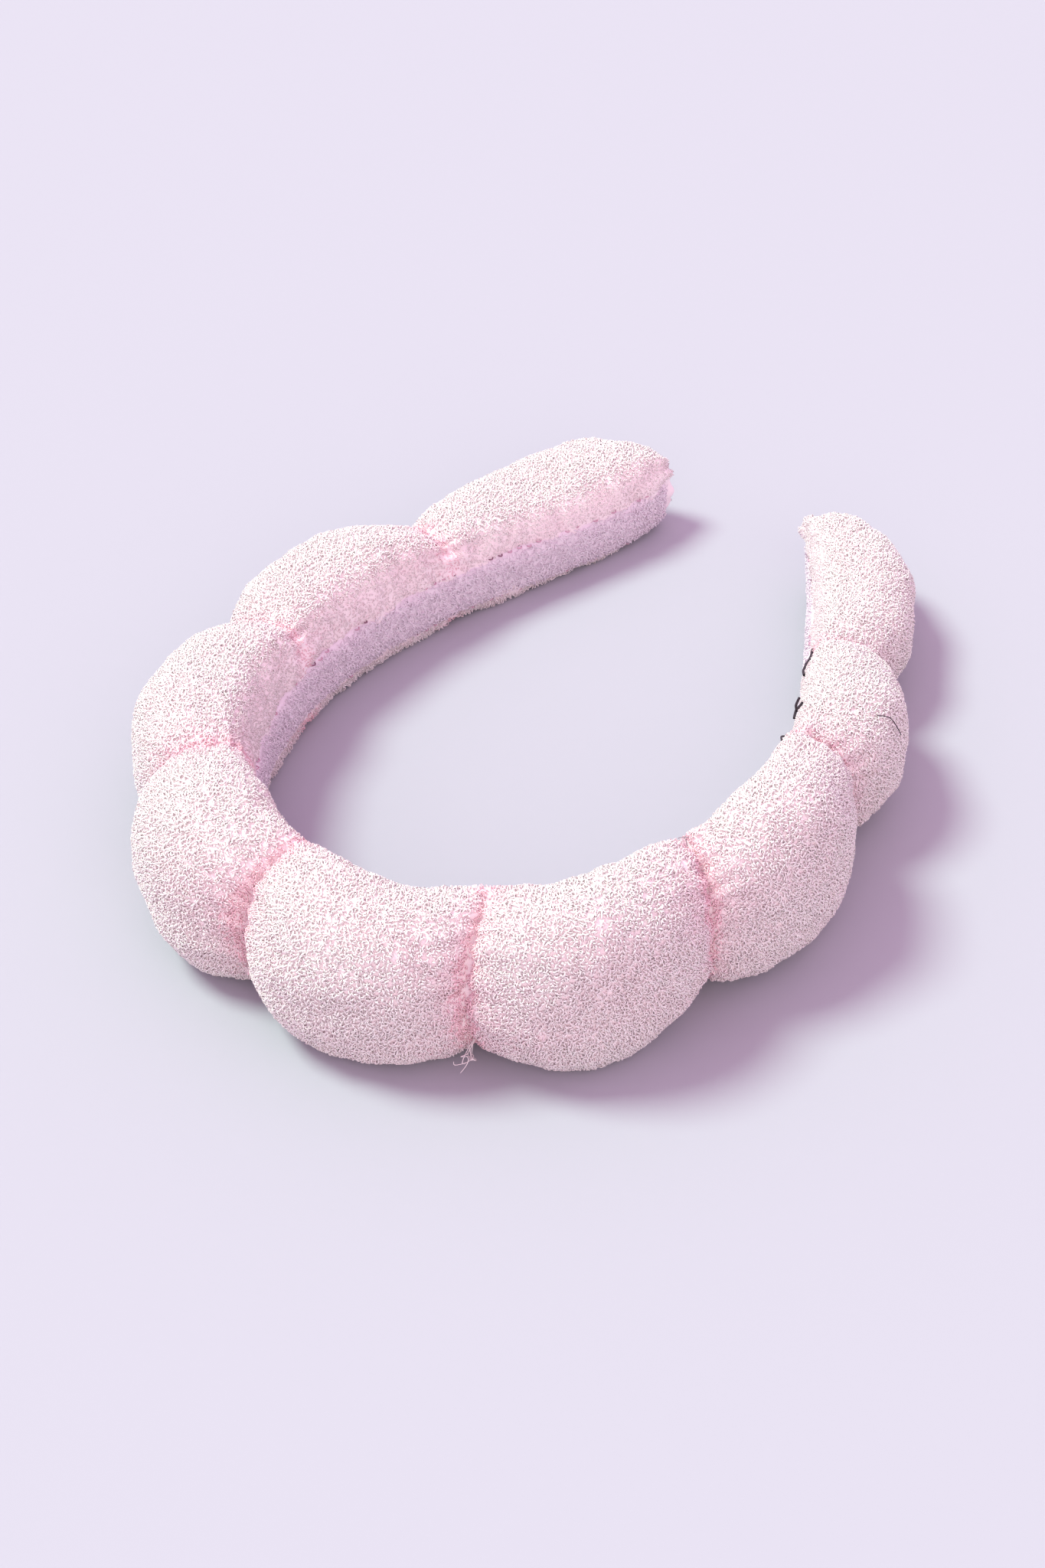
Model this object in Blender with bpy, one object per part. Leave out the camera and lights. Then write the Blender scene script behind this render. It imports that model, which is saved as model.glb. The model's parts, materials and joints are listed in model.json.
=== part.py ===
"""Spa headband: a springy hoop with nine foam pads under a terry cover, lying on its side.

The hoop's plane is level and +Z is up. The crown of the band is at -Y and its two ends are at +Y.
Every piece is laid out along the hoop's inner face: s is the distance along that face from the
crown (negative to the left), n is the distance out from it, and z is the height above the floor.

The band bends at the eight creases between its pads. So each puff, with its pad and its lengths
of cover, lining and hoop, is one body, carried by an empty that stands on the body's hinge line.
"""

import math
from collections import namedtuple

import bmesh
import bpy
import numpy as np
from mathutils import Vector

MM = 0.001

# The hoop's inner face: its radius at the crown, and how its curvature changes towards the ends.
CROWN_RADIUS = 47.4 * MM
CURVE_TERMS = (0.204, -2.775, -1.383, 3.882, 1.608, -3.004)
CURVE_LENGTH = 195 * MM
CURVE_REACH = 1.1           # the curve runs on a little past the ends, as a share of its length
CURVE_SAMPLES = 800

# The two ends of the band and the eight creases where its cover is cinched, along the inner face.
EDGES = tuple(d * MM for d in (-199, -135, -88.5, -46, -14, 20, 57, 100.5, 139.5, 192))

# Each puff from the left end to the right end: its name, how far it stands out, and its width.
PUFFS = (
    ("left_end", 26.5 * MM, 22 * MM),
    ("left_outer", 26.5 * MM, 28.5 * MM),
    ("left_middle", 27.5 * MM, 33 * MM),
    ("left_inner", 28.5 * MM, 40 * MM),
    ("crown", 26.5 * MM, 38 * MM),
    ("right_inner", 24 * MM, 41 * MM),
    ("right_middle", 22 * MM, 42 * MM),
    ("right_outer", 23 * MM, 32 * MM),
    ("right_end", 24 * MM, 23 * MM),
)
CROWN = 4
LAST = len(PUFFS) - 1
CREASE_SIZE = (0.73, 0.77)  # height and width at a crease, of the puffs beside it
END_SIZE = (0.60, 0.65)     # height and width at the band's two ends, of the last puff
PUFF_POWER = 1.7            # how soon a puff falls away towards its creases
END_POWER = 4.0             # the blunter fall at the band's two ends
FLATTENED = 1.3 * MM        # how much each puff is pressed flat where it rests

# A puff's section is flat against the head and round outside.
INNER_POWER, WIDTH_POWER = 0.55, 0.85

# A layer's distance in from the cover's outer skin: on the head side, outside and at the edges.
Layer = namedtuple("Layer", "inner outer edge")
COVER_THICK = 1.8 * MM
SKIN = Layer(0.0, 0.0, 0.0)
COVER_INSIDE = Layer(COVER_THICK, COVER_THICK, COVER_THICK)
PAD = Layer(3.9 * MM, 2.7 * MM, 2.7 * MM)
THREAD = Layer(4.4 * MM, 2.6 * MM, 2.6 * MM)

# The flat strips behind the pads, as distances out from the head: from, to, and width.
LINING = (0.0, 1.5 * MM, 11 * MM)
CORE = (2.1 * MM, 3.6 * MM, 9 * MM)
SLOT_PLAY = 0.5 * MM
STRIP_SHARE = 0.62          # the most of a puff's width that a strip takes, at the narrow ends
LOWEST_STRIP = COVER_THICK + SLOT_PLAY
HOOP_HEIGHT_AT_CROWN, HOOP_HEIGHT_AT_ENDS = 14 * MM, 8 * MM
STRIP_SHORT = 9.5 * MM      # the lining and the hoop stop this far inside each end
SLOT_SHORT = 3.5 * MM       # beyond this the cover closes to a slit
THREAD_RADIUS = 0.35 * MM
THREAD_PLAY = 0.15 * MM

# How far the band bends at each crease when it is spread, from the crown out.
SPREAD_DEGREES = (10.0, 8.0, 6.0, 3.5)
PIVOT = (CORE[0] + CORE[1]) / 2
STRIP_GAP = 0.5 * MM        # between the strips on the two sides of a hinge line
THREAD_ROOM = 1.2 * MM      # between two covers, where the cinch thread lies

STATIONS, RING, SLOT_POINTS, STRIP_STATIONS = 9, 14, 2, 7
THREAD_POINTS, THREAD_SIDES = 26, 5
END_CLOSED_TO = 0.15        # the gathered end's last ring, of the ring before it


def curve_samples():
    """Distances along the inner face with the position, heading and curvature at each."""
    s = np.linspace(-CURVE_REACH, CURVE_REACH, 2 * CURVE_SAMPLES + 1) * CURVE_LENGTH
    u = s / CURVE_LENGTH
    bend = (1 + sum(term * u ** (i + 1) for i, term in enumerate(CURVE_TERMS))) / CROWN_RADIUS

    def summed(values):
        steps = (values[1:] + values[:-1]) / 2 * np.diff(s)
        total = np.concatenate([[0.0], np.cumsum(steps)])
        return total - total[CURVE_SAMPLES]

    heading = summed(bend)
    return s, summed(np.cos(heading)), summed(np.sin(heading)), heading, bend


S, X, Y, HEADING, BEND = curve_samples()


def place(s, n, z, centre=(0.0, 0.0)):
    x, y, heading = (float(np.interp(s, S, values)) for values in (X, Y, HEADING))
    return Vector((x + math.sin(heading) * n - centre[0], y - math.cos(heading) * n - centre[1], z))


def puff_size(i, s):
    """How far puff i stands out at s, and how wide it is there."""
    across = (2 * s - EDGES[i] - EDGES[i + 1]) / (EDGES[i + 1] - EDGES[i])
    beside = i + (1 if across > 0 else -1)
    at_end = not 0 <= beside <= LAST
    low, power = (END_SIZE, END_POWER) if at_end else (CREASE_SIZE, PUFF_POWER)
    fullness = math.sqrt(max(0.0, 1 - abs(across) ** power))
    sizes = []
    for axis in (0, 1):
        full = PUFFS[i][1 + axis]
        edge = low[axis] * (full if at_end else (full + PUFFS[beside][1 + axis]) / 2)
        sizes.append(edge + (full - edge) * fullness)
    return sizes


def rest_height(s):
    """The height of the puffs' middle, each puff pressed a little flat on the floor."""
    middles = [(a + b) / 2 for a, b in zip(EDGES, EDGES[1:])]
    return float(np.interp(s, middles, [width / 2 - FLATTENED for _, _, width in PUFFS]))


def puff_at(s):
    """The number of the puff that covers s."""
    return min(LAST, max(0, sum(edge <= s for edge in EDGES) - 1))


def strip_edges(s, width, play=0.0):
    """The lower and upper edge of a strip of this width on the hoop, which slopes to its ends."""
    y, y_crown, y_end = (float(np.interp(at, S, Y)) for at in (s, 0.0, EDGES[-1]))
    slope = (HOOP_HEIGHT_AT_ENDS - HOOP_HEIGHT_AT_CROWN) / (y_end - y_crown)
    middle = max(HOOP_HEIGHT_AT_CROWN + slope * (y - y_crown), LOWEST_STRIP + LINING[2] / 2)
    in_from_end = min(s - EDGES[0], EDGES[-1] - s)
    room = STRIP_SHARE * puff_size(puff_at(s), s)[1] / 2 if in_from_end >= SLOT_SHORT else 0.0
    low = max(middle - width / 2, rest_height(s) - room)
    high = max(low, min(middle + width / 2, rest_height(s) + room))
    return low - play, high + play


def section_point(size, layer, angle):
    """A point of a layer's section: its n, and its height from the puff's middle."""
    c, v = math.cos(angle), math.sin(angle)
    out = 0.5 + 0.5 * (c if c > 0 else -abs(c) ** INNER_POWER)
    n = layer.inner + (size[0] - layer.inner - layer.outer) * out
    return n, math.copysign(abs(v) ** WIDTH_POWER, v) * (size[1] / 2 - layer.edge)


def slot_angle(size, layer, height):
    """The angle on the head side at which a layer's section reaches this height from its middle."""
    share = max(-1.0, min(1.0, height / (size[1] / 2 - layer.edge)))
    return math.pi - math.asin(math.copysign(abs(share) ** (1 / WIDTH_POWER), share))


def spread_at(crease):
    """The hinge angle at a crease, counted from the left."""
    from_crown = CROWN - 1 - crease if crease < CROWN else crease - CROWN
    return math.radians(SPREAD_DEGREES[from_crown])


def face_shift(crease, s, n):
    """How far along s a puff's end face stands back from its crease, at n."""
    room = THREAD_ROOM / 2 + math.tan(spread_at(crease) / 2) * max(0.0, n - PIVOT)
    return room / (1 + float(np.interp(s, S, BEND)) * n)


def along(i, fraction, n, inset):
    """s at a fraction of puff i's length, between its end faces."""
    start, end = EDGES[i], EDGES[i + 1]
    start += inset if i == 0 else face_shift(i - 1, start, n)
    end -= inset if i == LAST else face_shift(i, end, n)
    return start + (end - start) * fraction


def stations(count):
    """Fractions from 0 to 1, closer together towards the two ends."""
    return [(1 - math.cos(math.pi * k / (count - 1))) / 2 for k in range(count)]


def puff_ring(i, fraction, layer, closed):
    """One ring of a layer of puff i, open at the lining's slot unless closed."""
    nominal = EDGES[i] + (EDGES[i + 1] - EDGES[i]) * fraction
    size, middle = puff_size(i, nominal), rest_height(nominal)
    low, high = strip_edges(nominal, LINING[2], SLOT_PLAY)
    first = slot_angle(size, layer, high - middle)
    last = slot_angle(size, layer, low - middle)
    open_angles = np.linspace(first, last - 2 * math.pi, RING)
    angles = list(open_angles)
    if closed:
        angles += list(np.linspace(last, first, SLOT_POINTS + 2)[1:-1])
    ring = []
    for angle in angles:
        n, z = section_point(size, layer, angle)
        ring.append((along(i, fraction, n, layer.outer), n, max(middle + z, layer.edge)))
    return ring


def gathered(ring):
    """The ring drawn in towards its middle, where the cover is gathered at the band's end."""
    _, n_middle, z_middle = np.mean(ring, axis=0)
    return [(s, n_middle + (n - n_middle) * END_CLOSED_TO, z_middle + (z - z_middle) * END_CLOSED_TO)
            for s, n, z in ring]


def skin_rings(i, layer):
    """A cover's rings from one end of puff i to the other, closed over at the band's ends."""
    rings = [puff_ring(i, fraction, layer, closed=False) for fraction in stations(STATIONS)]
    if i == 0:
        rings.insert(0, gathered(rings[0]))
    if i == LAST:
        rings.append(gathered(rings[-1]))
    return rings


def strip_rings(i, strip):
    """Four-cornered rings of the hoop or the lining behind puff i."""
    near, far, width = strip
    start = EDGES[i] + (STRIP_SHORT if i == 0 else STRIP_GAP / 2)
    end = EDGES[i + 1] - (STRIP_SHORT if i == LAST else STRIP_GAP / 2)
    rings = []
    for s in np.linspace(start, end, STRIP_STATIONS):
        low, high = strip_edges(s, width)
        rings.append([(s, near, low), (s, far, low), (s, far, high), (s, near, high)])
    return rings


def band_centre():
    """The middle of the plan of all the covers, which becomes the origin."""
    points = [place(*p) for i in range(len(PUFFS)) for ring in skin_rings(i, SKIN) for p in ring]
    spans = [[p[axis] for p in points] for axis in (0, 1)]
    return [(min(span) + max(span)) / 2 for span in spans]


CENTRE = band_centre()


def pivot_point(i):
    """Where puff i's body turns: on the hoop at the crease on its crown side."""
    if i == CROWN:
        return Vector((0.0, 0.0, 0.0))
    s = EDGES[i + 1] if i < CROWN else EDGES[i]
    return place(s, PIVOT, HOOP_HEIGHT_AT_CROWN, CENTRE)


def add_piece(name, points, faces, look, body):
    """A closed mesh object standing on its body's empty."""
    mesh = bpy.data.meshes.new(name)
    mesh.from_pydata([p - body.location for p in points], [], faces)
    shape = bmesh.new()
    shape.from_mesh(mesh)
    bmesh.ops.recalc_face_normals(shape, faces=shape.faces)
    shape.to_mesh(mesh)
    shape.free()
    mesh.materials.append(look)
    piece = bpy.data.objects.new(name, mesh)
    piece.parent = body
    bpy.context.collection.objects.link(piece)
    return piece


def ring_faces(rows, columns, wrap):
    """Quads over a grid of rows of points, joined round if wrap."""
    around = columns if wrap else columns - 1
    return [
        (r * columns + c, r * columns + (c + 1) % columns,
         (r + 1) * columns + (c + 1) % columns, (r + 1) * columns + c)
        for r in range(rows - 1) for c in range(around)
    ]


def add_solid(name, rings, look, body):
    """A solid through closed rings, with an end face fanned from the middle of each end ring."""
    columns = len(rings[0])
    points = [place(*p, CENTRE) for ring in rings for p in ring]
    faces = ring_faces(len(rings), columns, wrap=True)
    for first in (0, len(points) - columns):
        end = points[first:first + columns]
        points.append(sum(end, Vector()) / columns)
        faces += [(len(points) - 1, first + c, first + (c + 1) % columns) for c in range(columns)]
    return add_piece(name, points, faces, look, body)


def add_shell(name, outside, inside, look, body):
    """The cloth between two open grids of rings, closed along all four of its edges."""
    rows, columns = len(outside), len(outside[0])
    points = [place(*p, CENTRE) for ring in outside + inside for p in ring]
    under = rows * columns
    skin = ring_faces(rows, columns, wrap=False)
    faces = skin + [tuple(v + under for v in reversed(face)) for face in skin]
    border = list(range(columns))
    border += [r * columns + columns - 1 for r in range(1, rows)]
    border += [(rows - 1) * columns + c for c in reversed(range(columns - 1))]
    border += [r * columns for r in reversed(range(1, rows - 1))]
    faces += [(a, b, b + under, a + under) for a, b in zip(border, border[1:] + border[:1])]
    return add_piece(name, points, faces, look, body)


def add_cinch_thread(crease, look, body):
    """The thread loop that draws the cover in at a crease, lying against the crown-side puff."""
    puff, side = (crease, 1) if crease < CROWN else (crease + 1, -1)
    s, size = EDGES[crease + 1], puff_size(crease, EDGES[crease + 1])
    middle = rest_height(s)
    route = []
    for k in range(THREAD_POINTS):
        n, z = section_point(size, THREAD, 2 * math.pi * k / THREAD_POINTS)
        back = face_shift(crease, s, n) - THREAD_RADIUS - THREAD_PLAY
        route.append(place(s + side * back, n, middle + z, CENTRE))
    hub = sum(route, Vector()) / THREAD_POINTS
    points = []
    for k, p in enumerate(route):
        run = (route[(k + 1) % THREAD_POINTS] - route[k - 1]).normalized()
        out = (p - hub).normalized()
        across = run.cross(out).normalized()
        out = across.cross(run)
        for j in range(THREAD_SIDES):
            turn = 2 * math.pi * j / THREAD_SIDES
            points.append(p + THREAD_RADIUS * (math.cos(turn) * out + math.sin(turn) * across))
    faces = ring_faces(THREAD_POINTS, THREAD_SIDES, wrap=True)
    last = (THREAD_POINTS - 1) * THREAD_SIDES
    faces += [(last + j, last + (j + 1) % THREAD_SIDES, (j + 1) % THREAD_SIDES, j)
              for j in range(THREAD_SIDES)]
    return add_piece(f"cinch_thread_{PUFFS[puff][0]}", points, faces, look, body)


def material(name, colour, roughness):
    made = bpy.data.materials.new(name)
    made.use_nodes = True
    shader = made.node_tree.nodes["Principled BSDF"]
    shader.inputs["Base Color"].default_value = (*colour, 1.0)
    shader.inputs["Roughness"].default_value = roughness
    return made


def add_body(i):
    """The empty on puff i's hinge line, which carries the pieces that move with the puff."""
    body = bpy.data.objects.new(f"body_{PUFFS[i][0]}", None)
    body.location = pivot_point(i)
    bpy.context.collection.objects.link(body)
    return body


def build():
    for item in list(bpy.data.objects):
        bpy.data.objects.remove(item, do_unlink=True)
    terry = material("terry_cover", (0.91, 0.76, 0.80), 0.95)
    lining = material("terry_lining", (0.80, 0.62, 0.74), 0.95)
    foam = material("foam", (0.93, 0.91, 0.86), 0.90)
    plastic = material("springy_plastic", (0.90, 0.90, 0.88), 0.35)
    thread = material("cinch_thread", (0.82, 0.55, 0.62), 0.70)
    bodies = [add_body(i) for i in range(len(PUFFS))]
    for i, (name, _, _) in enumerate(PUFFS):
        body = bodies[i]
        cover = add_shell(f"cover_{name}", skin_rings(i, SKIN), skin_rings(i, COVER_INSIDE),
                          terry, body)
        rings = [puff_ring(i, fraction, PAD, closed=True) for fraction in stations(STATIONS)]
        pad = add_solid(f"foam_pad_{name}", rings, foam, body)
        add_solid(f"hoop_{name}", strip_rings(i, CORE), plastic, body)
        add_solid(f"lining_{name}", strip_rings(i, LINING), lining, body)
        for soft in (cover, pad):
            soft.data.shade_smooth()
    for crease in range(len(PUFFS) - 1):
        crown_side = crease + 1 if crease < CROWN else crease
        add_cinch_thread(crease, thread, bodies[crown_side]).data.shade_smooth()


build()
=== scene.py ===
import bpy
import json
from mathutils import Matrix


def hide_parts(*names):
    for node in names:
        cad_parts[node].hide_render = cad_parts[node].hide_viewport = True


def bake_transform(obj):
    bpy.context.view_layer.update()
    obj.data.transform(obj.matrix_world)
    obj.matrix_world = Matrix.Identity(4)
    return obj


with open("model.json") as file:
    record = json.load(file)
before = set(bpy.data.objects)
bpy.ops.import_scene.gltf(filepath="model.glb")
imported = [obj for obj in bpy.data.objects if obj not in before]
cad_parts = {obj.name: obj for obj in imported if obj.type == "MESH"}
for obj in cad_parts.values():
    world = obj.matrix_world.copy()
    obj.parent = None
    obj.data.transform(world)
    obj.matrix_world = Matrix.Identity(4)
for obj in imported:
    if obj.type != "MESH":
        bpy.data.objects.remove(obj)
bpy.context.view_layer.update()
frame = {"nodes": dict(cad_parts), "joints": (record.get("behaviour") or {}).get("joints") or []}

# Looks of the spa headband: a pale pink terry cover with real pile loops over nine cinched puffs,
# a terry lining strip sewn in along the head side, and the threads of its seams and creases.
# s is the distance along the hoop's inner face, n the distance out from it, z the height.

import json
import math

import bpy
import numpy as np
from mathutils import Vector

MM = 0.001

PUFFS = ("left_end", "left_outer", "left_middle", "left_inner", "crown",
         "right_inner", "right_middle", "right_outer", "right_end")
LAST = len(PUFFS) - 1

# The shape of the padded cover, where it isn't read off the frame.
# At each crease: how far out it stands, its width outside and by the head, of the puffs beside it.
CREASE_HEIGHTS = (0.70, 0.70, 0.70, 0.70, 0.70, 0.68, 0.62, 0.62)
CREASE_WIDTHS = (0.72, 0.72, 0.74, 0.74, 0.74, 0.70, 0.64, 0.62)
HEAD_SIDE_WIDTHS = (0.88, 0.86, 0.90, 0.92, 0.94, 0.88, 0.84, 0.82)
FLOOR_SIDE_WIDTH = 0.97      # by the head, under its middle
CREASE_SOFTNESS = 0.4        # how open the valleys are
# The creases right of the crown stand askew: how much, where they turn, and the middle and size
# of that reach.
SKEW, SKEW_HEIGHT, SKEW_AT, SKEW_REACH = 0.3, 14 * MM, 228 * MM, 32 * MM
# At the left tip and at the right tip: how much of its puff's height and width is left, and how
# far it turns in towards the head.
END_HEIGHTS, END_WIDTHS, END_FLARES = (0.55, 0.35), (0.55, 0.40), (0.6 * MM, 4.5 * MM)
FLARE_SHARE = 0.7            # the flare grows from here under the section's middle to here over it
PUFF_POWER, END_POWERS = 1.8, (5.5, 3.6)
END_LONGER = 0.5 * MM        # the gathered ends reach this much past the frame's
CAP_RINGS, CAP_DOME = (0.8, 0.6, 0.4, 0.2, 0.05), 1.2 * MM   # how the cloth closes them
FLATTENED = 1.3 * MM         # how far each puff is pressed flat on the floor
UPPER_CORNER, LOWER_CORNER = 0.55, 0.15   # how square the head side's corners are
WIDTH_POWER = 0.85           # under 1, the section is a little fuller than an ellipse
SKIN_IN, HEAD_SKIN_IN = 0.55 * MM, 0.5 * MM   # the cloth lies this far under the tips of its pile
FLOOR_PLAY, FOLD_PLAY = 0.5 * MM, 0.3 * MM    # between the floor and the cloth, also with its folds
HEADING_ORDER, HOOP_STEPS, HOOP_SPARE = 7, 3000, 15 * MM

# Folds of the cloth. Heights are in mm, and those of a hollow are under 0.
LUMPS = ((0.45, 24 * MM, 5), (0.2, 9 * MM, 6))   # height, size and seed
GROOVE, GROOVE_REACH = -0.3, 1.0 * MM            # where the cinch thread pulls
GATHERS, GATHER, GATHER_REACH, GATHER_TURN = 15, 0.38, 5 * MM, 2.1   # fanning out of the creases
SIDE_GATHER, SIDE_GATHER_SIZE = 0.22, 1.15 * MM  # drawn in along the lining's seams
END_GATHERS, END_GATHER, END_GATHER_REACH = 9, 0.5, 8 * MM
DIMPLES, DIMPLE, DIMPLE_REACH = 2, -0.7, 3.5 * MM   # in the upper corner of the first creases
FIRST_PULL, PULL, PULL_SLOPE, PULL_WIDTH, PULL_LENGTH = -0.8, -0.3, 0.5, 0.7 * MM, 9 * MM
WANDER, WANDER_SIZE = 1.3, 16 * MM               # how far the gathers stray from straight

COVER_STEP, QUICK_STEP, COVER_GIRTH = 0.55 * MM, 1.2 * MM, 95 * MM
CLOSER, CLOSER_REACH, CLOSER_COUNT = 2.5, 1.5 * MM, 1.3   # the cover's rings beside the creases
PILE_CELL = 0.6 * MM         # one pile loop for each square of this side
PILE_HEIGHT, PILE_WIDTH, YARN = 0.84 * MM, 0.75 * MM, 0.16 * MM
PILE_LEAN, PILE_ARC = 0.42, 4
PILE_TOP, PILE_ROOT = 1.05, 0.12   # of its height, over its feet, and how deep its feet are set
WALL_SHORTER, CREASE_SHORTER, CREASE_REACH = 0.45, 0.25, 1.5 * MM
# What makes a loop pinker: everywhere, in drifts and by chance, as the cloth's own tone; in the creases,
# near them and by the head, as painted shade standing for the shade and bounced pink light that fall there.
PINK, PINK_DRIFT, PAINTED_CREASE_SHADE, PAINTED_NEAR_CREASE_SHADE, PAINTED_WALL_SHADE, PINK_CHANCE = 0.8, 0.35, 2.0, 1.7, 0.5, 0.3
PINK_DRIFT_SIZE, PAINTED_NEAR_SHADE_REACH = 30 * MM, 5 * MM
LINING_CELL, LINING_PILE, LINING_LOOP, LINING_YARN = 0.65 * MM, 0.75 * MM, 0.9 * MM, 0.13 * MM
LINING_STEP, LINING_COLUMNS = 0.5 * MM, 26
LINING_LOWER = 1.0 * MM      # its upper seam lies this much under the frame's lining
LINING_DEEPER, LINING_OFF_FLOOR = 1.6 * MM, 1.4 * MM   # and its lower seam, which keeps off the floor
LINING_PROUD = 1.0 * MM      # how far it stands out of the cover's cloth between its seams
LINING_BACK, LINING_SEAM = 0.8 * MM, 0.2 * MM          # its back and its seams lie this much deeper
LINING_ENDS, LINING_PILE_ENDS, STITCH_ENDS = 3.5 * MM, 4 * MM, 5 * MM   # they stop short of the ends
FIBRE_POINTS, FIBRE_SMOOTHING = 24, 6
TUFT_ANGLE = -50             # where the tuft of fibres leaves its crease, round the section
STITCH_STEP, STITCH_LENGTH, STITCH_RADIUS, STITCH_PROUD = 2.6 * MM, 1.4 * MM, 0.15 * MM, 0.6 * MM
UPPER_STITCHES, LOWER_STITCHES, DARK_STITCHES = 0.55, 0.25, 0.25   # shares that show, and are dark


# ---- the band's layout, read off the frame -------------------------------------------------

def node_points(name):
    mesh = frame["nodes"][name].data
    points = np.zeros(len(mesh.vertices) * 3)
    mesh.vertices.foreach_get("co", points)
    return points.reshape(-1, 3)


def lining_face_points():
    """Points of the lining's head side, in order from the left end to the right end."""
    found = []
    for puff in PUFFS:
        mesh = frame["nodes"][f"lining_{puff}"].data
        for face in mesh.polygons:
            inward = -(face.center.x * face.normal.x + face.center.y * face.normal.y)
            if abs(face.normal.z) < 0.5 and inward > 0.3 * face.center.xy.length:
                found += [mesh.vertices[v].co.xy for v in face.vertices]
    plan = np.unique(np.round(np.array(found), 6), axis=0)
    around = np.arctan2(-plan[:, 0], -plan[:, 1])
    return plan[np.argsort(-around)]


class Hoop:
    """The inner face's curve, whose heading is a smooth polynomial of s."""

    def __init__(self, plan):
        steps = np.diff(plan, axis=0)
        lengths = np.hypot(*steps.T)
        long = lengths > 2 * MM
        s = np.concatenate([[0.0], np.cumsum(lengths)])
        middles = ((s[1:] + s[:-1]) / 2)[long]
        headings = np.unwrap(np.arctan2(steps[long, 1], steps[long, 0]))
        self.terms = np.polyfit(middles, headings, HEADING_ORDER)
        self.s = np.linspace(-HOOP_SPARE, s[-1] + HOOP_SPARE, HOOP_STEPS)
        self.heading = np.polyval(self.terms, self.s)
        half = np.diff(self.s) / 2
        run = {}
        for axis, way in (("x", np.cos(self.heading)), ("y", np.sin(self.heading))):
            run[axis] = np.concatenate([[0.0], np.cumsum((way[1:] + way[:-1]) * half)])
        self.x = run["x"] + np.mean(plan[:, 0] - np.interp(s, self.s, run["x"]))
        self.y = run["y"] + np.mean(plan[:, 1] - np.interp(s, self.s, run["y"]))

    def at(self, s, n, z):
        """World points for arrays of s, n and z."""
        heading = np.interp(s, self.s, self.heading)
        x, y = np.interp(s, self.s, self.x), np.interp(s, self.s, self.y)
        return np.stack([x + np.sin(heading) * n, y - np.cos(heading) * n, z + 0 * x], axis=-1)

    def bend(self, s):
        return np.polyval(np.polyder(self.terms), s)

    def coordinates(self, points):
        """s and n of world points near the band."""
        apart = np.hypot(points[:, None, 0] - self.x[None], points[:, None, 1] - self.y[None])
        nearest = np.argmin(apart, axis=1)
        out = np.stack([np.sin(self.heading[nearest]), -np.cos(self.heading[nearest])], axis=-1)
        across, along = points[:, 0] - self.x[nearest], points[:, 1] - self.y[nearest]
        n = across * out[:, 0] + along * out[:, 1]
        return self.s[nearest], n


HOOP = Hoop(lining_face_points())
HINGES = {joint["child"]: np.array([joint["pos_m"]]) for joint in frame["joints"]}
CREASES = sorted(float(HOOP.coordinates(point)[0][0]) for point in HINGES.values())
HEIGHTS, WIDTHS = [], []
for puff in PUFFS:
    cover = node_points(f"cover_{puff}")
    HEIGHTS.append(float(HOOP.coordinates(cover)[1].max()))
    WIDTHS.append(float(np.ptp(cover[:, 2])) + FLATTENED)
ENDS = [float(pick(HOOP.coordinates(node_points(f"cover_{puff}"))[0]))
        for pick, puff in ((np.min, PUFFS[0]), (np.max, PUFFS[-1]))]
EDGES = np.array([ENDS[0] - END_LONGER, *CREASES, ENDS[1] + END_LONGER])
MIDDLES = (EDGES[1:] + EDGES[:-1]) / 2
HEIGHTS, WIDTHS = np.array(HEIGHTS), np.array(WIDTHS)


def lining_edges(s):
    """The lining's lower and upper edge at s, from the frame's lining."""
    known, low, high = [], [], []
    for puff in PUFFS:
        points = node_points(f"lining_{puff}")
        at, _ = HOOP.coordinates(points)
        for station in np.unique(np.round(at, 4)):
            here = points[np.abs(at - station) < 0.6 * MM, 2]
            known.append(station), low.append(here.min()), high.append(here.max())
    order = np.argsort(known)
    known, low, high = (np.array(values)[order] for values in (known, low, high))
    return np.interp(s, known, low), np.interp(s, known, high)


LINING_S = np.linspace(EDGES[0], EDGES[-1], 200)
LINING_LOW, LINING_HIGH = lining_edges(LINING_S)
LINING_HIGH -= LINING_LOWER
LINING_LOW = np.maximum(LINING_LOW - LINING_DEEPER, LINING_OFF_FLOOR)


# ---- the cover's surface -------------------------------------------------------------------

def ripple(points, size, seed, waves=7):
    """Smooth noise from -1 to 1, of about this size, at world points."""
    dice = np.random.default_rng(seed)
    total = np.zeros(points.shape[:-1])
    for _ in range(waves):
        way = dice.normal(size=3)
        way *= 2 * math.pi / size / np.linalg.norm(way) * dice.uniform(0.6, 1.4)
        total += np.sin(points @ way + dice.uniform(0, 2 * math.pi))
    return total / math.sqrt(waves)


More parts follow.
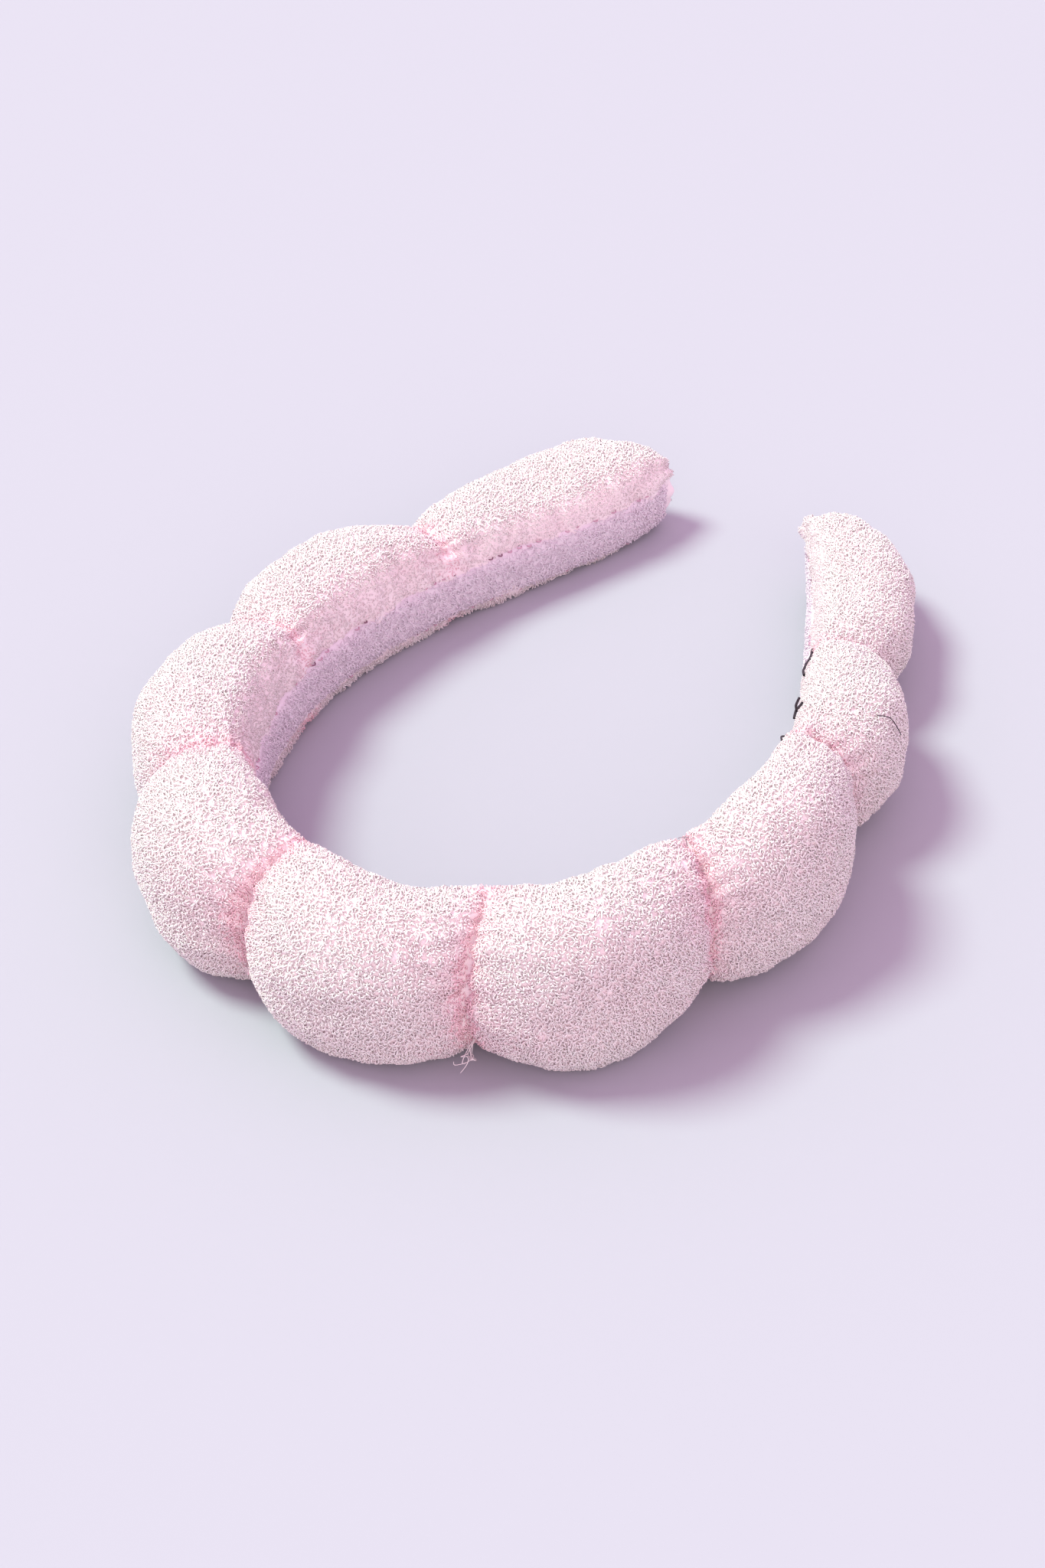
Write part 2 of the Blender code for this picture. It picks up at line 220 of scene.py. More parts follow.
def puff_sizes(s):
    """At s: how far the cover stands out, its width outside, by the head and under that, its flare."""
    i = np.clip(np.searchsorted(EDGES, s, side="right") - 1, 0, LAST)
    start, end = EDGES[i], EDGES[i + 1]
    across = np.clip((2 * s - start - end) / (end - start), -1, 1)
    beside = i + np.where(across > 0, 1, -1)
    at_end = (beside < 0) | (beside > LAST)
    beside = np.clip(beside, 0, LAST)
    left = i == 0
    power = np.where(at_end, np.where(left, *END_POWERS), PUFF_POWER)
    fullness = np.sqrt(np.maximum(0, 1 - np.abs(across) ** power))
    soft = np.hypot(fullness, CREASE_SOFTNESS) - CREASE_SOFTNESS
    fullness = np.where(at_end, fullness, soft / (math.hypot(1, CREASE_SOFTNESS) - CREASE_SOFTNESS))
    crease = np.clip(np.where(across > 0, i, i - 1), 0, LAST - 1)
    tip_height, tip_width = np.where(left, *END_HEIGHTS), np.where(left, *END_WIDTHS)
    sizes = []
    for full, at_crease, at_tip in ((HEIGHTS, np.array(CREASE_HEIGHTS)[crease], tip_height),
                                    (WIDTHS, np.array(CREASE_WIDTHS)[crease], tip_width),
                                    (WIDTHS, np.array(HEAD_SIDE_WIDTHS)[crease], tip_width),
                                    (WIDTHS, FLOOR_SIDE_WIDTH, tip_width)):
        edge = np.where(at_end, at_tip * full[i], at_crease * (full[i] + full[beside]) / 2)
        sizes.append(edge + (full[i] - edge) * fullness)
    flare = np.where(at_end, np.where(left, *END_FLARES) * across ** 2, 0)
    return *sizes, flare


def smooth_step(start, end, value):
    share = np.clip((value - start) / (end - start), 0, 1)
    return share * share * (3 - 2 * share)


def place(s, n, z):
    """World points of the cloth, with the skew of its creases."""
    skew = SKEW * np.exp(-((s - SKEW_AT) / SKEW_REACH) ** 2)
    return HOOP.at(s + skew * (SKEW_HEIGHT - n), n, z)


def rest_height(s):
    return np.interp(s, MIDDLES, WIDTHS / 2 - FLATTENED)


def head_corner(v):
    """How square the head side's corner is, at a height of v in the section."""
    return LOWER_CORNER + (UPPER_CORNER - LOWER_CORNER) * smooth_step(-0.2, 0.2, v)


def smooth_skin(s, angle):
    """The cover's cloth with no folds in it, at s and an angle round its section."""
    height, width, head_width, floor_width, flare = puff_sizes(s)
    c, v = np.cos(angle), np.sin(angle)
    width = width + (np.where(v > 0, head_width, floor_width) - width) * smooth_step(0.35, -0.55, c)
    out = 0.5 + 0.5 * np.where(c > 0, c, -np.abs(c) ** head_corner(v))
    flare = flare * smooth_step(-FLARE_SHARE, FLARE_SHARE, v)
    n = HEAD_SKIN_IN - flare + (height - SKIN_IN - HEAD_SKIN_IN) * out
    z = rest_height(s) + np.sign(v) * np.abs(v) ** WIDTH_POWER * (width / 2 - SKIN_IN)
    return place(s, n, np.maximum(z, FLOOR_PLAY + SKIN_IN))


def head_face(s, z):
    """n of the smooth skin's head side at s and a height."""
    height, _, head_width, floor_width, flare = puff_sizes(s)
    width = np.where(z > rest_height(s), head_width, floor_width)
    share = np.clip(np.abs(z - rest_height(s)) / (width / 2 - SKIN_IN), 0, 0.98)
    v = np.sign(z - rest_height(s)) * share ** (1 / WIDTH_POWER)
    out = 0.5 - 0.5 * (1 - v * v) ** (head_corner(v) / 2)
    flare = flare * smooth_step(-FLARE_SHARE, FLARE_SHARE, v)
    return HEAD_SKIN_IN - flare + (height - SKIN_IN - HEAD_SKIN_IN) * out


def skin_frame(s, angle):
    """Points of the smooth skin with its outward normal and its direction along the band."""
    step_s, step_a = 0.2 * MM, 0.02
    inside = np.clip(s, EDGES[0] + step_s, EDGES[-1] - step_s)
    along = smooth_skin(inside + step_s, angle) - smooth_skin(inside - step_s, angle)
    around = smooth_skin(inside, angle + step_a) - smooth_skin(inside, angle - step_a)
    normal = np.cross(along, around)
    normal /= np.linalg.norm(normal, axis=-1, keepdims=True) + 1e-12
    along /= np.linalg.norm(along, axis=-1, keepdims=True) + 1e-12
    return smooth_skin(s, angle), normal, along


def crease_distance(s):
    """How far s is from the nearest crease, and which it is."""
    gaps = np.abs(s[..., None] - np.array(CREASES))
    return gaps.min(axis=-1), gaps.argmin(axis=-1)


def folds(points, s, angle):
    """How far the cloth's folds and gathers stand out of the smooth skin."""
    away, which = crease_distance(s)
    head_side = np.clip(-np.cos(angle) * 1.6 - 0.4, 0, 1)
    wander = ripple(points, WANDER_SIZE, 11) * WANDER
    gathers = GATHER * np.sin(angle * GATHERS + which * GATHER_TURN + wander) * np.exp(-away / GATHER_REACH)
    side_gathers = SIDE_GATHER * np.sin(s / SIDE_GATHER_SIZE + wander * 1.5) * head_side
    from_end = np.minimum(s - EDGES[0], EDGES[-1] - s)
    end_gathers = END_GATHER * np.sin(angle * END_GATHERS + wander * 2)
    end_gathers = end_gathers * np.exp(-from_end / END_GATHER_REACH)
    lumps = sum(height * ripple(points, size, seed) for height, size, seed in LUMPS)
    groove = GROOVE * np.exp(-(away / GROOVE_REACH) ** 2)
    corner = np.exp(-((np.abs(np.sin(angle)) - 0.85) / 0.25) ** 2) * (np.cos(angle) < 0)
    dimples = DIMPLE * (which < DIMPLES) * corner * np.exp(-(away / DIMPLE_REACH) ** 2)
    below = np.maximum(rest_height(s) + puff_sizes(s)[2] / 2 - points[..., 2], 0)
    pulls = np.exp(-((away - PULL_SLOPE * below) / PULL_WIDTH) ** 2 - below / PULL_LENGTH)
    pulls = pulls * head_side * (np.sin(angle) > 0) * np.where(which == 0, FIRST_PULL, PULL)
    return MM * (lumps + groove + dimples + pulls + gathers + side_gathers + end_gathers)


def cover_skin(s, angle):
    """The cloth itself: its points, normals and direction along the band."""
    points, normal, along = skin_frame(s, angle)
    points = points + normal * folds(points, s, angle)[..., None]
    points[..., 2] = np.maximum(points[..., 2], FLOOR_PLAY + FOLD_PLAY)
    return points, normal, along


# ---- meshes --------------------------------------------------------------------------------

def add_mesh(name, points, faces, looks, look_of_face=None, smooth=True):
    mesh = bpy.data.meshes.new(name)
    sizes = np.full(len(faces), faces.shape[1]) if isinstance(faces, np.ndarray) else None
    if sizes is None:
        mesh.from_pydata(points, [], faces)
    else:
        mesh.vertices.add(len(points))
        mesh.vertices.foreach_set("co", np.ascontiguousarray(points, np.float32).ravel())
        mesh.loops.add(faces.size)
        mesh.loops.foreach_set("vertex_index", faces.astype(np.int32).ravel())
        mesh.polygons.add(len(faces))
        mesh.polygons.foreach_set("loop_start", np.arange(len(faces), dtype=np.int32) * faces.shape[1])
        mesh.update(calc_edges=True)
        mesh.validate()
    for look in looks:
        mesh.materials.append(look)
    if look_of_face is not None:
        mesh.polygons.foreach_set("material_index", look_of_face.astype(np.int32))
    if smooth:
        mesh.shade_smooth()
    piece = bpy.data.objects.new(name, mesh)
    bpy.context.scene.collection.objects.link(piece)
    return piece


def grid_faces(rows, columns, wrap=False):
    """Four-cornered faces between the points of a grid, whose last column may join its first."""
    row, first = np.meshgrid(np.arange(rows - 1), np.arange(columns - (not wrap)), indexing="ij")
    row, first = row.ravel() * columns, first.ravel()
    second = (first + 1) % columns
    return np.stack([row + first, row + second, row + columns + second, row + columns + first], axis=-1)


def tubes(routes, radius, sides=3):
    """Closed tubes: routes is an array (tube, point, xyz); returns points and four-cornered faces."""
    count, stops, _ = routes.shape
    run = np.gradient(routes, axis=1)
    run /= np.linalg.norm(run, axis=-1, keepdims=True) + 1e-12
    plane = np.cross(routes[:, -1] - routes[:, 0], routes[:, stops // 2] - routes[:, 0])
    plane /= np.linalg.norm(plane, axis=-1, keepdims=True) + 1e-12
    side = np.repeat(plane[:, None], stops, axis=1)
    out = np.cross(run, side)
    turns = np.arange(sides) * 2 * math.pi / sides
    ring = (np.cos(turns)[None, None, :, None] * out[:, :, None]
            + np.sin(turns)[None, None, :, None] * side[:, :, None])
    radius = np.reshape(radius, (-1, 1, 1, 1))
    points = (routes[:, :, None] + radius * ring).reshape(-1, 3)
    one = grid_faces(stops, sides, wrap=True)
    faces = (one[None] + (np.arange(count) * stops * sides)[:, None, None]).reshape(-1, 4)
    return points, faces


def pile_loops(points, normal, along, height, width, dice):
    """A terry loop at each point, leaning and turned a little differently from its neighbours."""
    count = len(points)
    across = np.cross(normal, along)
    turn = dice.uniform(0, math.pi, count)[:, None]
    way = np.cos(turn) * along + np.sin(turn) * across
    lean = normal + PILE_LEAN * dice.normal(size=(count, 1)) * along
    lean = lean + PILE_LEAN * dice.normal(size=(count, 1)) * across
    lean /= np.linalg.norm(lean, axis=-1, keepdims=True)
    arc = np.linspace(0, math.pi, PILE_ARC)
    height = (height * dice.uniform(0.7, 1.15, count))[:, None, None]
    width = (width * dice.uniform(0.7, 1.2, count))[:, None, None]
    reach, rise = np.cos(arc)[None, :, None], np.sin(arc)[None, :, None] * PILE_TOP - PILE_ROOT
    return points[:, None] + way[:, None] * (width / 2) * reach + lean[:, None] * height * rise


# ---- materials -----------------------------------------------------------------------------

def principled(name, colour, roughness, sheen=0.0):
    look = bpy.data.materials.new(name)
    look.use_nodes = True
    shader = look.node_tree.nodes["Principled BSDF"]
    shader.inputs["Base Color"].default_value = (*colour, 1)
    shader.inputs["Roughness"].default_value = roughness
    shader.inputs["Sheen Weight"].default_value = sheen
    shader.inputs["Sheen Roughness"].default_value = 0.6
    return look


def woven(name, light, dark, roughness, scale, sheen=0.3, bump=0.25):
    """Cloth whose colour drifts and whose ground weave shows as a fine bump."""
    look = principled(name, light, roughness, sheen)
    nodes, links = look.node_tree.nodes, look.node_tree.links
    shader = nodes["Principled BSDF"]
    place = nodes.new("ShaderNodeTexCoord")
    noise = nodes.new("ShaderNodeTexNoise")
    noise.inputs["Scale"].default_value = scale
    noise.inputs["Detail"].default_value = 4
    ramp = nodes.new("ShaderNodeValToRGB")
    ramp.color_ramp.elements[0].position, ramp.color_ramp.elements[0].color = 0.35, (*dark, 1)
    ramp.color_ramp.elements[1].position, ramp.color_ramp.elements[1].color = 0.65, (*light, 1)
    weave = nodes.new("ShaderNodeTexNoise")
    weave.inputs["Scale"].default_value = 900
    raised = nodes.new("ShaderNodeBump")
    raised.inputs["Strength"].default_value = bump
    raised.inputs["Distance"].default_value = 0.4 * MM
    links.new(place.outputs["Object"], noise.inputs["Vector"])
    links.new(place.outputs["Object"], weave.inputs["Vector"])
    links.new(noise.outputs["Fac"], ramp.inputs["Fac"])
    links.new(ramp.outputs["Color"], shader.inputs["Base Color"])
    links.new(weave.outputs["Fac"], raised.inputs["Height"])
    links.new(raised.outputs["Normal"], shader.inputs["Normal"])
    return look


COVER_CLOTH = woven("cover_cloth", (0.92, 0.80, 0.82), (0.90, 0.75, 0.78), 0.95, 120)
LINING_CLOTH = woven("lining_cloth", (0.86, 0.75, 0.82), (0.80, 0.68, 0.76), 0.95, 160)
# Pile tints from palest to pinkest; the pinker ones also carry the painted shade of the creases and the
# head side.
PILE = [principled(f"pile_{k}", colour, 0.95) for k, colour in enumerate((
    (0.87, 0.80, 0.80), (0.88, 0.78, 0.79), (0.90, 0.74, 0.77), (0.935, 0.63, 0.69)))]
LINING_PILE_LOOKS = [principled(f"lining_pile_{k}", colour, 0.95) for k, colour in enumerate((
    (0.90, 0.80, 0.87), (0.83, 0.72, 0.80)))]
SEAM_THREAD = [principled("seam_thread", (0.62, 0.36, 0.46), 0.7),
               principled("seam_thread_dark", (0.26, 0.12, 0.18), 0.7)]
DARK_FIBRE = principled("dark_fibre", (0.03, 0.02, 0.03), 0.6)
GREY_FIBRE = principled("grey_fibre", (0.30, 0.24, 0.28), 0.6)

# Loose dark fibres: name, nearest crease, radius in mm, look, and each fibre's places as the mm past
# that crease, the angle round the section in degrees, and the height over the cloth in mm.
STRAY_FIBRES = (
    ("dark_seam_thread_1", 7, 0.28, DARK_FIBRE, (
        ((2.5, 149, 0.5), (-2.0, 150, 1.2), (-6.5, 150, 1.2), (-11.0, 150, 0.5)),)),
    ("dark_seam_thread_2", 6, 0.28, DARK_FIBRE, (
        ((15.0, 141, 0.6), (12.5, 143, 1.2), (10.0, 145, 0.6)),
        ((12.0, 143, 0.9), (11.5, 136, 1.6), (12.0, 128, 1.9)))),
    ("dark_seam_thread_3", 6, 0.2, DARK_FIBRE, (
        ((-2.5, 126, 0.6), (-4.5, 125, 1.1), (-6.5, 124, 0.6)),)),
    ("crease_specks", 5, 0.1, GREY_FIBRE, (
        ((-1.6, 112, 0.7), (-0.9, 105, 1.0), (-0.4, 98, 0.7)),
        ((0.6, 116, 0.7), (0.1, 110, 0.9), (0.8, 104, 0.7)))),
    ("stray_hair", 6, 0.1, DARK_FIBRE, (
        ((11.2, 56, 1.0), (12.6, 46, 1.5), (12.8, 34, 1.5), (14.0, 23, 1.1)),)),
)


# ---- the cover, the lining and their pile, one patch across each crease ----------------------

def patch_span(j):
    start = EDGES[0] if j == 0 else MIDDLES[j]
    end = EDGES[-1] if j == LAST - 1 else MIDDLES[j + 1]
    return start, end


def across_crease(piece):
    """Bakes the piece's placement into its mesh; nothing bends it."""
    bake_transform(piece)


def crowded(start, end, step):
    """Stations from start to end, closer together beside the creases and the band's ends."""
    count = int((end - start) / step)
    even = np.linspace(start, end, 4 * count)
    away = np.minimum(crease_distance(even)[0], np.minimum(even - EDGES[0], EDGES[-1] - even))
    weight = 1 + CLOSER * np.exp(-np.maximum(away, 0) / CLOSER_REACH)
    total = np.concatenate([[0], np.cumsum((weight[1:] + weight[:-1]) / 2)])
    return np.interp(np.linspace(0, total[-1], int(count * CLOSER_COUNT)), total, even)


def closed_ends(j):
    """Which of the band's ends patch j closes: 0 for the left one, -1 for the right one."""
    return [0] if j == 0 else [-1] if j == LAST - 1 else []


def cap_points(end, angle, share):
    """Points of a closed end at an angle and a share of the way out to its rim, and its direction."""
    rim = cover_skin(np.full(angle.shape, EDGES[end]), angle)[0]
    around = np.linspace(0, 2 * math.pi, 60, endpoint=False)
    hub = cover_skin(np.full(60, EDGES[end]), around)[0].mean(axis=0)
    heading = np.interp(EDGES[end], HOOP.s, HOOP.heading) + (math.pi if end == 0 else 0)
    outward = np.array([math.cos(heading), math.sin(heading), 0])
    share = np.broadcast_to(share, angle.shape)[:, None]
    return hub + (rim - hub) * share + outward * CAP_DOME * (1 - share ** 2), outward


def cap_spots(end, cell, dice):
    """Places of the pile on a closed end: s, angle, points, normals and directions across it."""
    rim = cap_points(end, np.linspace(0, 2 * math.pi, 60), 1.0)[0]
    spokes = rim - rim.mean(axis=0)
    area = np.linalg.norm(np.cross(spokes[:-1], spokes[1:]), axis=-1).sum() / 2
    count = int(area / cell ** 2)
    angle = dice.uniform(0, 2 * math.pi, count)
    points, outward = cap_points(end, angle, np.sqrt(dice.uniform(0, 1, count)))
    return (np.full(count, EDGES[end]), angle, points, np.tile(outward, (count, 1)),
            np.tile([0.0, 0.0, 1.0], (count, 1)))


def build_cover(j):
    start, end = patch_span(j)
    step = COVER_STEP
    stations = crowded(start, end, step)
    angles = np.linspace(0, 2 * math.pi, int(COVER_GIRTH / step), endpoint=False)
    s, angle = np.meshgrid(stations, angles, indexing="ij")
    points, _, _ = cover_skin(s, angle)
    faces = grid_faces(*s.shape, wrap=True)
    points = points.reshape(-1, 3)
    closing = []
    for end in closed_ends(j):
        ring = (0 if end == 0 else len(points) - s.shape[1]) + np.arange(s.shape[1])
        for share in CAP_RINGS:
            inner = len(points) + np.arange(s.shape[1])
            points = np.concatenate([points, cap_points(end, angles, share)[0]])
            quads = np.stack([ring, np.roll(ring, -1), np.roll(inner, -1), inner], axis=-1)
            closing.append(quads[:, ::-1] if end == 0 else quads)
            ring = inner
    piece = add_mesh(f"cover_cloth_{j + 1}", points, np.concatenate([faces, *closing]), [COVER_CLOTH])
    across_crease(piece)
    return piece


def scatter(start, end, cell, dice):
    """One jittered s and angle for each cell-sized square of the cover between start and end."""
    dense = np.linspace(start, end, int((end - start) / (0.03 * MM)))
    probes = np.linspace(0, 2 * math.pi, 37)
    lines = smooth_skin(*np.meshgrid(dense, probes, indexing="ij"))
    stretch = np.linalg.norm(np.diff(lines, axis=0), axis=-1)
    most = stretch.max(axis=1)
    run = np.concatenate([[0], np.cumsum(most)])
    found = []
    for row in np.arange(cell / 2, run[-1], cell):
        at = min(int(np.searchsorted(run, row)), len(most)) - 1
        ring_angles = np.linspace(0, 2 * math.pi, 361)
        ring = smooth_skin(np.full(361, dense[at]), ring_angles)
        lengths = np.concatenate([[0], np.cumsum(np.linalg.norm(np.diff(ring, axis=0), axis=-1))])
        count = max(8, int(lengths[-1] / cell))
        spots = np.arange(count) + dice.uniform(0, 1) + dice.uniform(-0.35, 0.35, count)
        spots = spots * lengths[-1] / count
        angle = np.interp(np.mod(spots, lengths[-1]), lengths, ring_angles)
        here = np.interp(angle, probes, stretch[at])
        keep = dice.uniform(0, 1, count) < here / most[at]
        s = dense[at] + dice.uniform(-0.35, 0.35, count) * cell * (dense[1] - dense[0]) / here
        found.append(np.stack([s[keep], angle[keep]], axis=-1))
    s, angle = np.concatenate(found).T
    return np.clip(s, start, end), angle


def build_pile(j):
    """The cover's terry loops, as one piece on each side of crease j."""
    dice = np.random.default_rng(100 + j)
    coarse = 1.0
    s, angle = scatter(*patch_span(j), PILE_CELL * coarse, dice)
    points, normal, along = cover_skin(s, angle)
    low = np.interp(s, LINING_S, LINING_LOW)
    high = np.interp(s, LINING_S, LINING_HIGH)
    under_lining = (np.cos(angle) < -0.3) & (points[:, 2] > low) & (points[:, 2] < high)
    s, angle, points, normal, along = (a[~under_lining] for a in (s, angle, points, normal, along))
    for end in closed_ends(j):
        more = cap_spots(end, PILE_CELL * coarse, dice)
        s, angle, points, normal, along = (np.concatenate(pair)
                                           for pair in zip((s, angle, points, normal, along), more))
    away, _ = crease_distance(s)
    near_crease = np.exp(-away / CREASE_REACH)
    wall = smooth_step(-0.35, -0.95, np.cos(angle))
    size = (1 - WALL_SHORTER * wall) * (1 - CREASE_SHORTER * near_crease) * coarse
    routes = pile_loops(points, normal, along, PILE_HEIGHT * size, PILE_WIDTH * size, dice)
    routes[..., 2] = np.maximum(routes[..., 2], YARN * coarse)
    thickness = YARN * size * dice.uniform(0.85, 1.2, len(routes))
    # The crease, near-crease and head-side terms are painted shade; the base, the drifts and the chance are
    # the cloth's own tone.
    pink_tone_and_painted_shade = (PINK + PINK_DRIFT * ripple(points, PINK_DRIFT_SIZE, 21) + PAINTED_CREASE_SHADE * near_crease
                + PAINTED_NEAR_CREASE_SHADE * np.exp(-away / PAINTED_NEAR_SHADE_REACH) + PAINTED_WALL_SHADE * wall
                + dice.normal(0, PINK_CHANCE, len(points)))
    tint = np.clip(np.floor(pink_tone_and_painted_shade), 0, len(PILE) - 1)
    for side, part in (("a", s < CREASES[j]), ("b", s >= CREASES[j])):
        verts, faces = tubes(routes[part], thickness[part])
        looks = np.repeat(tint[part], len(faces) // int(part.sum()))
        piece = add_mesh(f"terry_pile_{j + 1}{side}", verts, faces, PILE, looks)
        across_crease(piece)


def lining_surface(s, share):
    """The lining's head side at s and a share of its width, with its seams drawn in."""
    low, high = np.interp(s, LINING_S, LINING_LOW), np.interp(s, LINING_S, LINING_HIGH)
    z = low + (high - low) * share
    arch = 1 - (2 * share - 1) ** 6
    points = HOOP.at(s, np.zeros_like(s), z)
    waves = 0.14 * ripple(points, 7 * MM, 31) + 0.05 * ripple(points, 1.8 * MM, 32)
    return place(s, head_face(s, z) + LINING_SEAM - LINING_PROUD * arch + waves * MM, z)


def build_lining(j):
    start, end = patch_span(j)
    start, end = max(start, EDGES[0] + LINING_ENDS), min(end, EDGES[-1] - LINING_ENDS)
    stations = np.linspace(start, end, int((end - start) / LINING_STEP))
    s, share = np.meshgrid(stations, np.linspace(0, 1, LINING_COLUMNS), indexing="ij")
    front = lining_surface(s, share)
    back = place(s, head_face(s, front[..., 2]) + LINING_BACK, front[..., 2])
    points = np.concatenate([front.reshape(-1, 3), back.reshape(-1, 3)])
    face = grid_faces(*s.shape)
    rows, columns = s.shape
    under = rows * columns
    border = np.concatenate([np.arange(columns), np.arange(1, rows) * columns + columns - 1,
                             (rows - 1) * columns + np.arange(columns - 1)[::-1],
                             np.arange(1, rows - 1)[::-1] * columns])
    edge = np.stack([border, np.roll(border, -1), np.roll(border, -1) + under, border + under], axis=-1)
    faces = np.concatenate([face[:, ::-1], face + under, edge])
    piece = add_mesh(f"lining_cloth_{j + 1}", points, faces, [LINING_CLOTH])
    across_crease(piece)
    return piece


def build_lining_pile(j):
    dice = np.random.default_rng(200 + j)
    start, end = patch_span(j)
    start, end = max(start, EDGES[0] + LINING_PILE_ENDS), min(end, EDGES[-1] - LINING_PILE_ENDS)
    stations, rows = np.arange(start, end, LINING_CELL), np.arange(0.03, 0.98, 0.075)
    s, row = np.meshgrid(stations, rows, indexing="ij")
    s = s.ravel() + dice.uniform(-0.4, 0.4, s.size) * LINING_CELL
    share = np.clip(row.ravel() + dice.uniform(-0.03, 0.03, s.size), 0.02, 0.98)
    points = lining_surface(s, share)
    heading = np.interp(s, HOOP.s, HOOP.heading)
    along = np.stack([np.cos(heading), np.sin(heading), 0 * s], axis=-1)
    normal = np.stack([-np.sin(heading), np.cos(heading), 0 * s], axis=-1)
    routes = pile_loops(points, normal, along, np.full(len(s), LINING_PILE), LINING_LOOP, dice)
    verts, faces = tubes(routes, LINING_YARN * dice.uniform(0.8, 1.2, len(routes)))
    looks = np.repeat(dice.integers(0, len(LINING_PILE_LOOKS), len(routes)), len(faces) // len(routes))
    piece = add_mesh(f"lining_pile_{j + 1}", verts, faces, LINING_PILE_LOOKS, looks)
    across_crease(piece)


def build_stitches(j):
    """The seam threads along both edges of the lining, one short stitch after another."""
    dice = np.random.default_rng(300 + j)
    start, end = patch_span(j)
    every = np.arange(max(start, EDGES[0] + STITCH_ENDS), min(end, EDGES[-1] - STITCH_ENDS), STITCH_STEP)
    routes = []
    for edges, shown in ((LINING_HIGH, UPPER_STITCHES), (LINING_LOW, LOWER_STITCHES)):
        s = every[dice.uniform(0, 1, len(every)) < shown]
        arc = np.linspace(-0.5, 0.5, 5)
        at = s[:, None] + arc[None] * STITCH_LENGTH * dice.uniform(0.7, 1.2, len(s))[:, None]
        z = np.interp(at, LINING_S, edges) + dice.normal(0, 0.15 * MM, len(s))[:, None]
        n = head_face(at, z) - STITCH_PROUD * np.cos(arc * math.pi)[None]
        routes.append(place(at, n, z))
    routes = np.concatenate(routes)
    verts, faces = tubes(routes, np.full(len(routes), STITCH_RADIUS), sides=6)
    dark = (dice.uniform(0, 1, len(routes)) < DARK_STITCHES).astype(int)
    looks = np.repeat(dark, len(faces) // len(routes))
    piece = add_mesh(f"seam_stitches_{j + 1}", verts, faces, SEAM_THREAD, looks)
    across_crease(piece)


def add_fibres(name, fibres, radius, look, j):
    """Loose fibres lying on the cover, each given as places of s, angle and height over the cloth."""
    routes = []
    for places in fibres:
        s, angle, lift = np.array(places).T
        even = np.linspace(0, len(places) - 1, FIBRE_POINTS)
        s, angle, lift = (np.interp(even, np.arange(len(places)), values) for values in (s, angle, lift))
        points, normal, _ = cover_skin(CREASES[j] + s * MM, np.radians(angle))
        points = points + normal * lift[:, None] * MM
        for _ in range(FIBRE_SMOOTHING):
            points[1:-1] = (points[:-2] + 2 * points[1:-1] + points[2:]) / 4
        points[:, 2] = np.maximum(points[:, 2], radius)
        routes.append(points)
    piece = add_mesh(name, *tubes(np.array(routes), np.full(len(routes), radius), sides=6), [look])
    across_crease(piece)


def curly_tuft(count, seed):
    """Curling fibres that poke out of the bottom of a crease, in the same terms."""
    dice = np.random.default_rng(seed)
    return [[(dice.uniform(-0.6, 0.6), TUFT_ANGLE + dice.uniform(-6, 6), 0.0)]
            + [(dice.uniform(-3.0, 2.0), TUFT_ANGLE + dice.uniform(-14, 14), dice.uniform(1.5, 5.0))
               for _ in range(4)] for _ in range(count)]


def paint_frame():
    """The looks of the frame's own pieces, which lie under the cloth."""
    looks = {
        "hoop": woven("hoop_plastic", (0.90, 0.90, 0.87), (0.86, 0.86, 0.83), 0.35, 40, bump=0.05),
        "cinch_thread": woven("cinch_cord", (0.84, 0.56, 0.63), (0.74, 0.44, 0.52), 0.7, 900, bump=0.5),
        "foam_pad": woven("foam", (0.93, 0.91, 0.85), (0.86, 0.83, 0.76), 0.95, 700, bump=0.6),
    }
    for kind, look in looks.items():
        for node, piece in frame["nodes"].items():
            if node.startswith(kind):
                piece.data.materials.clear()
                piece.data.materials.append(look)


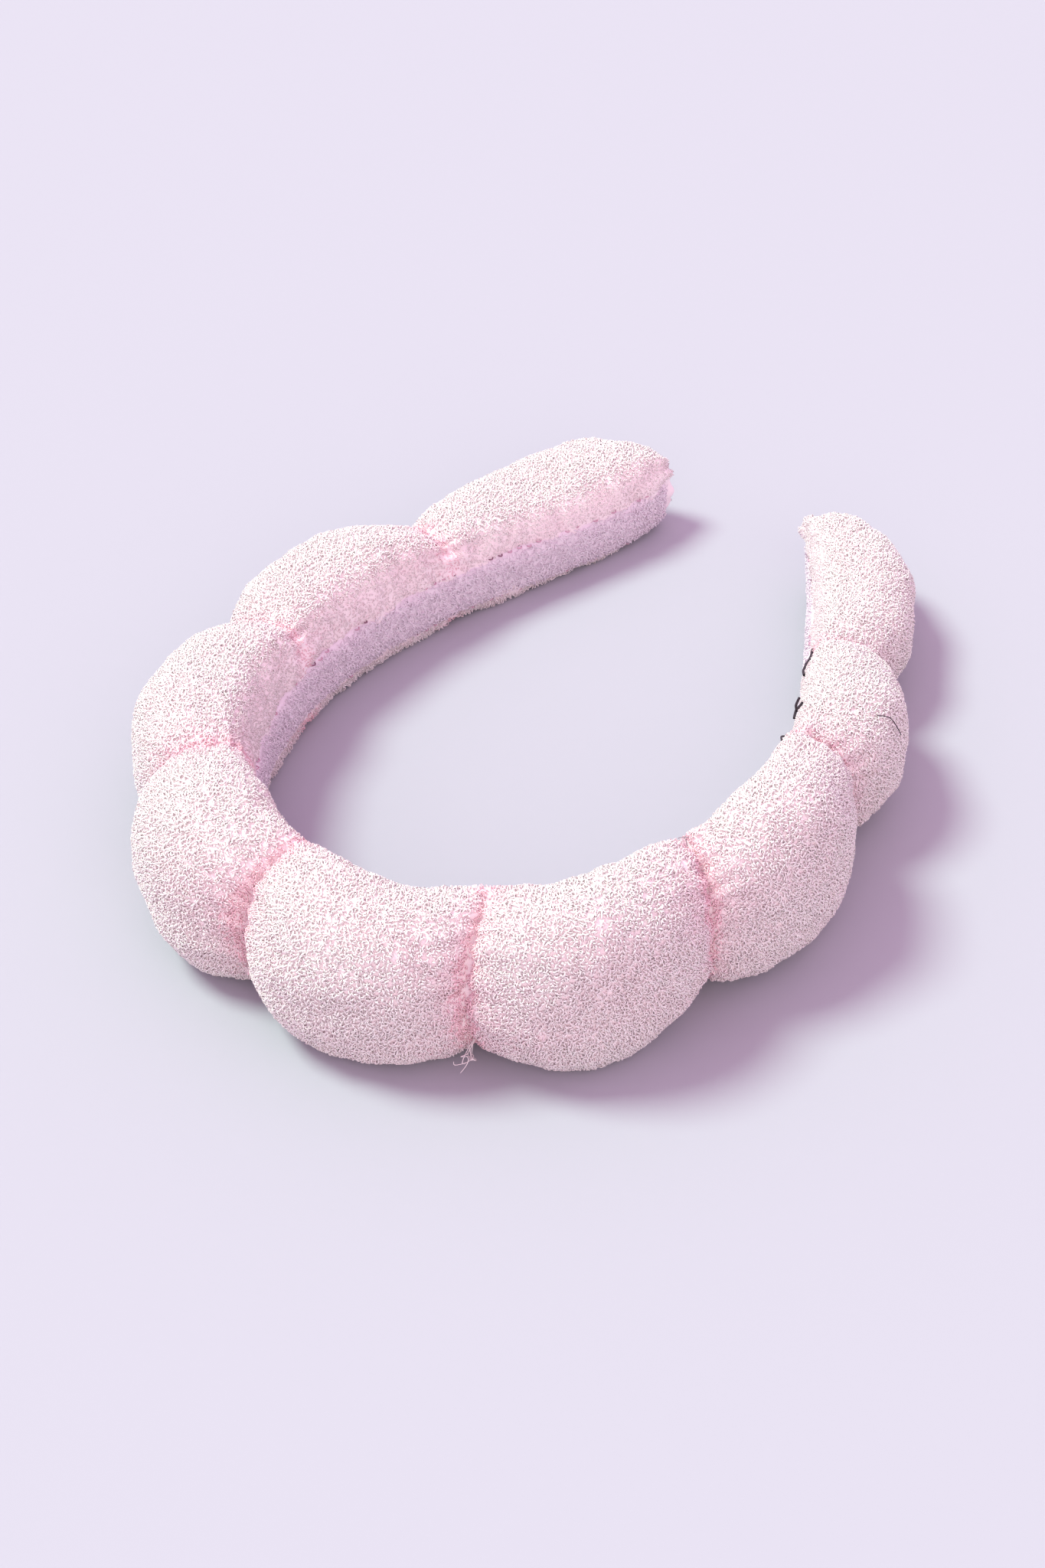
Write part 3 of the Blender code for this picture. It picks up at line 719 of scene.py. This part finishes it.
paint_frame()
for j in range(LAST):
    cover, lining = build_cover(j), build_lining(j)
    build_pile(j)
    build_lining_pile(j)
    build_stitches(j)
    for puff in PUFFS[:2] if j == 0 else PUFFS[j + 1:j + 2]:
        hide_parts("cover_" + puff, "foam_pad_" + puff)
        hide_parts("lining_" + puff)
for name, j, radius, look, fibres in STRAY_FIBRES:
    add_fibres(name, fibres, radius * MM, look, j)
add_fibres("fibre_tuft", curly_tuft(5, 41), 0.08 * MM, PILE[1], 4)


# ---- floor, light and camera ---------------------------------------------------------------

def stage_floor():
    bpy.ops.mesh.primitive_plane_add(size=30, location=(0, 0, -0.05 * MM))
    floor = bpy.context.object
    floor.name = "floor"
    floor.data.materials.append(principled("floor_card", (0.438, 0.432, 0.488), 0.8))


def light_scene():
    world = bpy.data.worlds.new("soft_daylight")
    world.use_nodes = True
    world.node_tree.nodes["Background"].inputs["Color"].default_value = (0.585, 0.40, 0.56, 1)
    world.node_tree.nodes["Background"].inputs["Strength"].default_value = 1.7
    bpy.context.scene.world = world
    for name, strength, spread, colour, fall in (
            ("key", 3.6, 20, (0.75, 0.98, 0.80), (0.968, 0.25, -1.6)),
            ("fill", 0.9, 60, (0.95, 1.0, 0.80), (-0.6, 0.7, -0.4))):
        sun = bpy.data.lights.new(name, "SUN")
        sun.energy, sun.angle, sun.color = strength, math.radians(spread), colour
        light = bpy.data.objects.new(name, sun)
        light.rotation_euler = Vector(fall).to_track_quat("-Z", "Y").to_euler()
        bpy.context.scene.collection.objects.link(light)
    bpy.context.scene.view_settings.view_transform = "Standard"


def place_camera():
    lens, distance = 67.6, 0.615
    azimuth, elevation = math.radians(28.4), math.radians(39.3)
    target = Vector((1.7, 10.0, 14.8)) * MM
    lens_data = bpy.data.cameras.new("camera")
    lens_data.lens, lens_data.sensor_width = lens, 36
    lens_data.shift_x, lens_data.shift_y = -0.0305, -0.054
    camera = bpy.data.objects.new("camera", lens_data)
    level = math.cos(elevation)
    away = Vector((math.sin(azimuth) * level, -math.cos(azimuth) * level, math.sin(elevation)))
    camera.location = target + distance * away
    camera.rotation_euler = (-away).to_track_quat("-Z", "Y").to_euler()
    bpy.context.scene.collection.objects.link(camera)
    bpy.context.scene.camera = camera


stage_floor()
light_scene()
place_camera()
